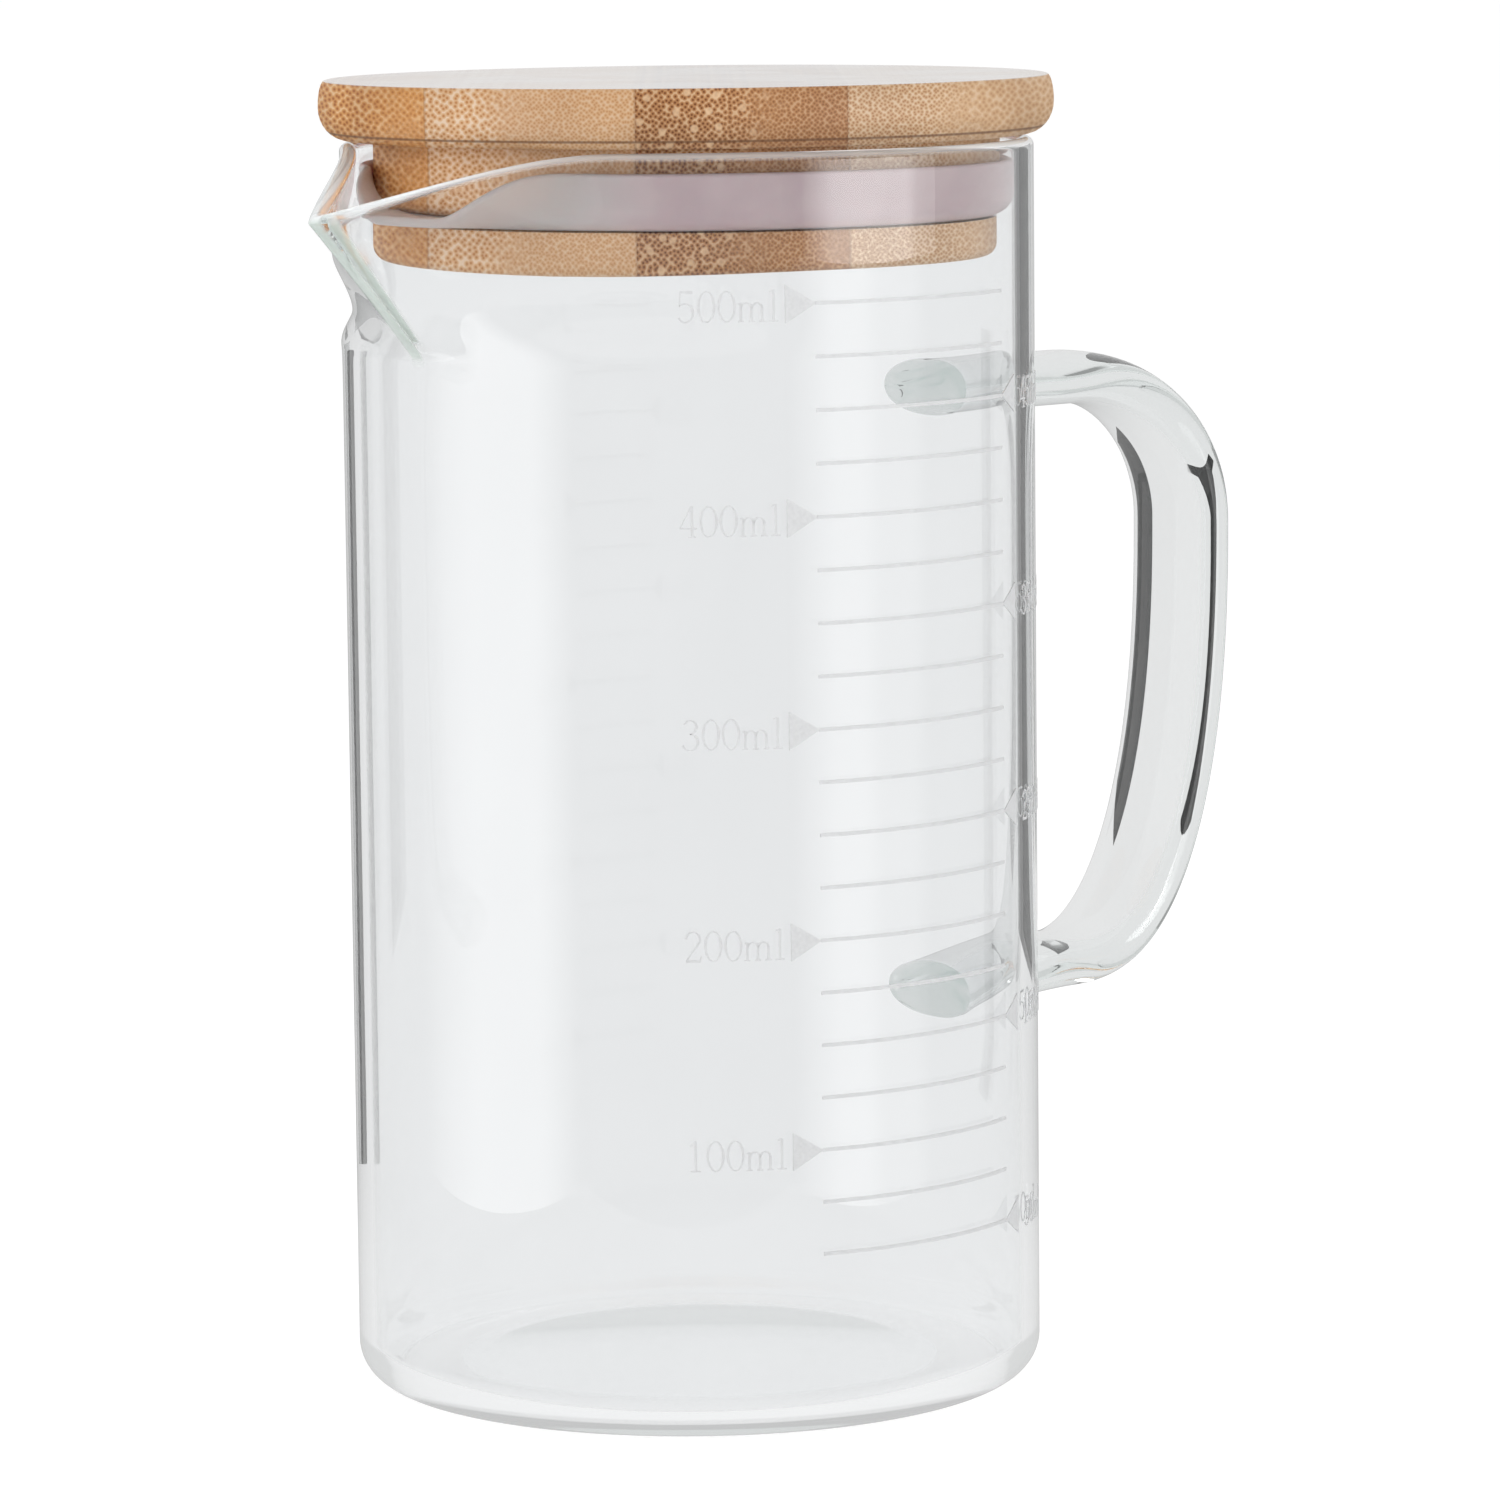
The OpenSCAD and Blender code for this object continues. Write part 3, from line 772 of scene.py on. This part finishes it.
def bamboo_material(name, start, end, coarse, fine, turn_from, turn_to, tones, flecks=0.0):
    """Bamboo seen as a solid: bundles of fibre along the strip, which show as dots on its ends.

    start and end are the strip's two seams, coarse and fine the bundles' spacing in millimetres,
    turn_from and turn_to the shares of the strip's width between which coarse gives way to fine,
    tones the display colours of a bundle's core, of the wood round it and of the pale net between,
    and flecks the strength of pale spots."""
    made, tree = new_material(name)
    turn = (0, 0, math.radians(CAMERA_TURN))
    turned = add(tree, "Mapping", {"Vector": place_of(tree), "Rotation": turn}).outputs[0]
    across, along, up = axes_of(tree, turned)
    drift = noise(tree, add(tree, "CombineXYZ", {0: along}).outputs[0], DRIFT_SCALE)
    bent = math_node(tree, "MULTIPLY_ADD", drift, DRIFT, across)
    section = add(tree, "CombineXYZ", {0: bent, 1: up}).outputs[0]
    turn = (0, 0, math.radians(LATTICE_TURN))
    lattice = add(tree, "Mapping", {"Vector": section, "Rotation": turn}).outputs[0]
    rough_edge = noise(tree, section, BUNDLE_EDGE)

    def bundles(spacing):
        """Distance from the nearest bundle's core, in cells, with a ragged edge."""
        cells = add(tree, "TexVoronoi", {
            "Vector": lattice, "Scale": 1 / (spacing * MM), "Randomness": LATTICE_CHANCE},
            voronoi_dimensions="2D")
        away = cells.outputs["Distance"]
        away = math_node(tree, "MULTIPLY_ADD", rough_edge, BUNDLE_RAGGED, away)
        return math_node(tree, "SUBTRACT", away, BUNDLE_RAGGED / 2)

    share = fade(tree, across, start * MM, end * MM)
    patch = noise(tree, section, PATCH_SCALE)
    share = math_node(tree, "MULTIPLY_ADD", patch, PATCH_SHARE, share)
    share = math_node(tree, "SUBTRACT", share, PATCH_SHARE / 2)
    share = fade(tree, share, turn_from, turn_to)
    core, wood, net = (np.array(linear(*t)) for t in tones)
    soft_core, soft_net = core + HAZE_SOFT * (wood - core), net + HAZE_SOFT * (wood - net)
    dots = ramp(tree, bundles(coarse), list(zip(BUNDLE_STOPS, (core, wood, wood, net))))
    haze = ramp(tree, bundles(fine), list(zip(BUNDLE_STOPS, (soft_core, wood, wood, soft_net))))
    tone = mix(tree, share, dots, haze)
    if flecks:
        spots = fade(tree, bundles(FLECK_SPACING), FLECK_CORE, FLECK_EDGE, flecks, 0.0)
        spots = math_node(tree, "MULTIPLY", spots, math_node(tree, "SUBTRACT", 1.0, share))
        tone = mix(tree, spots, tone, paint(*FLECK_TONE))
    cloud = noise(tree, turned, CLOUD_SCALE, 3.0)
    tone = mix(tree, CLOUD_SHARE, tone, two_tone(tree, cloud, *CLOUD_TONES), "MULTIPLY")

    def dark_line(away, strength):
        return fade(tree, away, SEAM_HALF * MM, SEAM_BLEND * MM, strength, 0.0)

    seam = math_node(tree, "MINIMUM", gap(tree, across, start * MM), gap(tree, across, end * MM))
    glue = gap(tree, up, GLUE_Z * MM)
    dark = math_node(tree, "MAXIMUM", dark_line(seam, SEAM_DARK), dark_line(glue, GLUE_DARK))
    tone = mix(tree, dark, tone, paint(*SEAM_TONE))
    height = math_node(tree, "ADD", bundles(coarse), rough_edge)
    facing = axes_of(tree, add(tree, "NewGeometry").outputs["Normal"])[2]
    waxed = fade(tree, facing, WAX_FROM, WAX_FULL)
    rough = math_node(tree, "MULTIPLY_ADD", waxed, -WAX_POLISH, vary(tree, cloud, *WOOD_ROUGH))
    shader = add(tree, "BsdfPrincipled", {
        "Base Color": tone, "Roughness": rough, "IOR": WOOD_IOR, "Coat Weight": waxed,
        "Coat Roughness": WAX_ROUGH, "Normal": bump(tree, height, WOOD_BUMP, WOOD_BUMP_DEPTH)})
    finish_material(tree, shader)
    return made


def ray_kinds(tree):
    """Shares of a ray from the camera, through glass and off a mirror, and the white it sees."""
    path = add(tree, "LightPath").outputs
    let_out = math_node(tree, "GREATER_THAN", path["Glossy Depth"], GLASS_TURNS)
    through = math_node(tree, "MAXIMUM", path["Is Transmission Ray"], let_out)
    # A ray through clear glass counts as glossy too, so mirrors are what is left of glossy
    mirror = math_node(tree, "SUBTRACT", path["Is Glossy Ray"], through, clamp=True)
    behind = math_node(tree, "MINIMUM", through, path["Diffuse Depth"])
    white = math_node(tree, "MULTIPLY_ADD", behind, BEHIND_GLASS - 1, 1.0)
    white = math_node(tree, "MULTIPLY_ADD", let_out, LET_OUT_LEVEL - 1, white)
    return path["Is Camera Ray"], through, mirror, white


def floor_material():
    """Paper that takes shadows where the camera sees it, and is even to glass and gloss."""
    made, tree = new_material("floor")
    where = place_of(tree)
    tone = two_tone(tree, noise(tree, where, FLOOR_GRAIN, 3.0), *FLOOR_TONES)
    camera, through, mirror, white = ray_kinds(tree)
    even = math_node(tree, "MAXIMUM", mirror, through)
    tone = mix(tree, camera, tone, FLOOR_GREY)
    matte = add(tree, "BsdfDiffuse", {"Color": mix(tree, even, tone, (0, 0, 0, 1))})
    reach = add(tree, "VectorMath", {0: where}, operation="LENGTH").outputs["Value"]
    mirrored = fade(tree, reach, NEAR_FROM * MM, NEAR_TO * MM, NEAR_LEVEL, ROOM_LEVEL)
    level = math_node(tree, "MULTIPLY", through, white)
    level = math_node(tree, "MULTIPLY_ADD", camera, FLOOR_GLOW, level)
    level = math_node(tree, "MULTIPLY_ADD", mirror, mirrored, level)
    lift = add(tree, "Emission", {"Color": (1, 1, 1, 1), "Strength": level})
    finish_material(tree, add(tree, "AddShader", {0: matte.outputs[0], 1: lift.outputs[0]}))
    return made


def card_material(name, tones):
    """Felt between two linear tones."""
    made, tree = new_material(name)
    tone = two_tone(tree, noise(tree, place_of(tree), CARD_GRAIN), *tones)
    finish_material(tree, add(tree, "BsdfDiffuse", {"Color": tone}))
    return made


def studio(right, away, up):
    """A place in the camera's own directions, given in millimetres."""
    turn = math.radians(CAMERA_TURN)
    c, s = math.cos(turn), math.sin(turn)
    return Vector((right * c + away * s, away * c - right * s, up)) * MM


def panel_material(name, inner, outer, radiance, stops):
    """Light from a panel's inner edge to its outer one, as stops of share and level."""
    made, tree = new_material(name)
    a, b = studio(*inner, 0), studio(*outer, 0)
    along = (b - a) / (b - a).length_squared
    share = math_node(tree, "SUBTRACT", dot(tree, place_of(tree), along), a.dot(along))
    level = ramp(tree, share, [(place, (level,) * 3) for place, level in stops])
    finish_material(tree, add(tree, "Emission", {"Color": level, "Strength": radiance}))
    return made


# The object

glass = make_glass()
glass.data.materials.append(glass_material())
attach(glass, "jug")
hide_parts("jug_body", "handle")

enamel = enamel_material()
numerals = make_numerals()
numerals.data.materials.append(enamel)
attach(numerals, "jug")
for name in ("scale_lines", "scale_pointers"):
    print_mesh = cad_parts[name].data
    print_mesh.materials.clear()
    print_mesh.materials.append(enamel)

seal = make_seal()
seal.data.materials.append(silicone_material())
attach(seal, "seal")
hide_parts("seal_ring")

# The four strips from left to right, as bamboo_material takes them
SEAMS = [-LID_R, SEAM_X - 2 * STRIP_W, SEAM_X - STRIP_W, SEAM_X, LID_R]
BAMBOO = [
    dict(coarse=0.62, fine=0.58, turn_from=0.4, turn_to=1.2,
         tones=((158, 88, 22), (203, 144, 78), (221, 182, 136))),
    dict(coarse=0.58, fine=0.4, turn_from=0.15, turn_to=0.6,
         tones=((180, 120, 62), (211, 169, 125), (223, 196, 168))),
    dict(coarse=0.5, fine=0.42, turn_from=0.3, turn_to=0.8, flecks=0.7,
         tones=((112, 60, 20), (176, 124, 76), (206, 170, 132))),
    dict(coarse=0.4, fine=0.62, turn_from=0.3, turn_to=0.8,
         tones=((172, 122, 78), (204, 167, 127), (220, 194, 164))),
]
for k, look in enumerate(BAMBOO, 1):
    grain = bamboo_material(f"bamboo_{k}", SEAMS[k - 1], SEAMS[k], **look)
    for board in ("lid_strip", "plug_strip"):
        strip_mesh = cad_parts[f"{board}_{k}"].data
        strip_mesh.materials.clear()
        strip_mesh.materials.append(grain)
        smooth(strip_mesh, WOOD_SMOOTH)


# The studio

FLOOR_HALF = 30000
# Cards and panels stand between two places given as right and away of the jug, in millimetres.
# A panel's light is given as stops of the share of its width and of its level.
LEFT_CARD, LEFT_CARD_TOP = ((-92, 174), (-120, 159)), 104
LEFT_FOOT, LEFT_FOOT_Z = ((-97, 114), (-76, 122)), 0.5
RIGHT_CARD, RIGHT_CARD_TOP = ((125, 260), (236, 260)), 158
LEFT_PANEL = (-105, -156), (-177, 4)
RIGHT_PANEL = (88, -166), (177, -30)
FRONT_CARD = LEFT_PANEL[0], RIGHT_PANEL[0]
PANEL_TOP = 150
RIGHT_SPLIT = 121
PANEL_RADIANCE = 2.5
RIGHT_TOP_RADIANCE = 6.0
LEFT_STOPS = [(0.02, 0.0), (0.25, 1.0), (0.6, 1.0), (0.97, 0.25)]
RIGHT_STOPS = [(0.03, 0.0), (0.31, 1.0), (0.47, 1.0), (0.58, 0.55), (0.78, 0.5), (0.92, 0.15)]
RIGHT_TOP_STOPS = [(0.12, 0.0), (0.31, 1.0), (0.76, 1.0), (0.84, 0.5), (0.92, 0.35), (0.98, 0.3)]
SOFTBOX_RIGHT, SOFTBOX_AWAY, SOFTBOX_UP = 700, -500, 560
SOFTBOX_AIM = 0, 0, 90
SOFTBOX_W, SOFTBOX_H = 560, 900
SOFTBOX_RADIANCE = 2.6
# How far to the back a mirrored direction points where the backdrop's full level is reached
BACK_FULL = 0.7


def make_camera():
    """The photograph's camera."""
    yaw, tilt, roll = (math.radians(v) for v in (CAMERA_YAW, CAMERA_TILT, CAMERA_ROLL))
    right = Vector((math.cos(yaw), -math.sin(yaw), 0))
    level = math.cos(tilt)
    ahead = Vector((math.sin(yaw) * level, math.cos(yaw) * level, -math.sin(tilt)))
    up = right.cross(ahead)
    x_axis = right * math.cos(roll) - up * math.sin(roll)
    y_axis = right * math.sin(roll) + up * math.cos(roll)
    axes = [studio(*v).normalized() for v in (x_axis, y_axis, -ahead)]
    data = bpy.data.cameras.new("camera")
    data.sensor_width, data.lens = SENSOR, LENS
    data.clip_start, data.clip_end = CLIP_START, CLIP_END
    made = bpy.data.objects.new("camera", data)
    place = Matrix.Translation(studio(0, -CAMERA_DISTANCE, CAMERA_HEIGHT))
    made.matrix_world = place @ Matrix(axes).transposed().to_4x4()
    bpy.context.scene.collection.objects.link(made)
    bpy.context.scene.camera = made


def add_softbox(name, place):
    """A lamp that lights the object and shows in no mirror."""
    data = bpy.data.lights.new(name, "AREA")
    data.shape, data.size, data.size_y = "RECTANGLE", SOFTBOX_W * MM, SOFTBOX_H * MM
    data.energy = SOFTBOX_RADIANCE * math.pi * SOFTBOX_W * SOFTBOX_H * MM * MM
    made = bpy.data.objects.new(name, data)
    spot, target = studio(*place), studio(*SOFTBOX_AIM)
    turn = (target - spot).to_track_quat("-Z", "Y").to_matrix().to_4x4()
    made.matrix_world = Matrix.Translation(spot) @ turn
    made.visible_camera = made.visible_glossy = made.visible_transmission = False
    bpy.context.scene.collection.objects.link(made)


def upright(inner, outer, low, high):
    """The corners of a sheet that stands between two places."""
    return [(*inner, low), (*outer, low), (*outer, high), (*inner, high)]


def add_screen(name, corners, material):
    """A flat piece of the studio that only glass and gloss can see."""
    made = add_object(name, [studio(*c) / MM for c in corners], [tuple(range(len(corners)))])
    made.data.materials.append(material)
    made.visible_camera = made.visible_diffuse = made.visible_shadow = False
    return made


def add_panel(name, edges, low, high, radiance, stops):
    """An upright light panel beside the camera, which only mirrors can see."""
    light = panel_material(name, *edges, radiance, stops)
    made = add_screen(name, upright(*edges, low, high), light)
    made.visible_transmission = False


def make_world():
    """The room's white, at the level that each kind of ray sees."""
    world = bpy.data.worlds.new("studio")
    world.use_nodes = True
    tree = world.node_tree
    tree.nodes.clear()
    camera, through, mirror, white = ray_kinds(tree)
    back = studio(0, 1 / MM, 0)
    backward = dot(tree, add(tree, "TexCoord").outputs["Generated"], back)
    mirrored = fade(tree, backward, 0.0, BACK_FULL, ROOM_LEVEL, BACK_LEVEL)
    level = fade(tree, mirror, 0, 1, WORLD_LEVEL, mirrored)
    level = fade(tree, math_node(tree, "MAXIMUM", camera, through), 0, 1, level, white)
    glow = add(tree, "Background", {"Color": (1, 1, 1, 1), "Strength": level})
    add(tree, "OutputWorld", {"Surface": glow.outputs[0]})
    bpy.context.scene.world = world


make_camera()
corners = [(-1, -1), (1, -1), (1, 1), (-1, 1)]
floor = add_object("floor", [(x * FLOOR_HALF, y * FLOOR_HALF, 0) for x, y in corners],
                   [(0, 1, 2, 3)])
floor.data.materials.append(floor_material())

dark_felt = card_material("card", DARK_CARD)
grey_felt = card_material("grey_card", GREY_CARD)
foot = [(*place, LEFT_FOOT_Z) for place in LEFT_CARD + LEFT_FOOT]
add_screen("card_left", upright(*LEFT_CARD, 0, LEFT_CARD_TOP), dark_felt)
add_screen("card_left_foot", foot, dark_felt)
add_screen("card_right", upright(*RIGHT_CARD, 0, RIGHT_CARD_TOP), grey_felt)
front = add_screen("card_front", upright(*FRONT_CARD, 0, PANEL_TOP), dark_felt)
front.visible_transmission = False
add_panel("panel_left", LEFT_PANEL, 0, PANEL_TOP, PANEL_RADIANCE, LEFT_STOPS)
add_panel("panel_right", RIGHT_PANEL, 0, RIGHT_SPLIT, PANEL_RADIANCE, RIGHT_STOPS)
add_panel("panel_right_top", RIGHT_PANEL, RIGHT_SPLIT, PANEL_TOP, RIGHT_TOP_RADIANCE,
          RIGHT_TOP_STOPS)
for name, side in (("softbox_left", -1), ("softbox_right", 1)):
    add_softbox(name, (side * SOFTBOX_RIGHT, SOFTBOX_AWAY, SOFTBOX_UP))
make_world()
bpy.context.scene.view_settings.view_transform = "Standard"
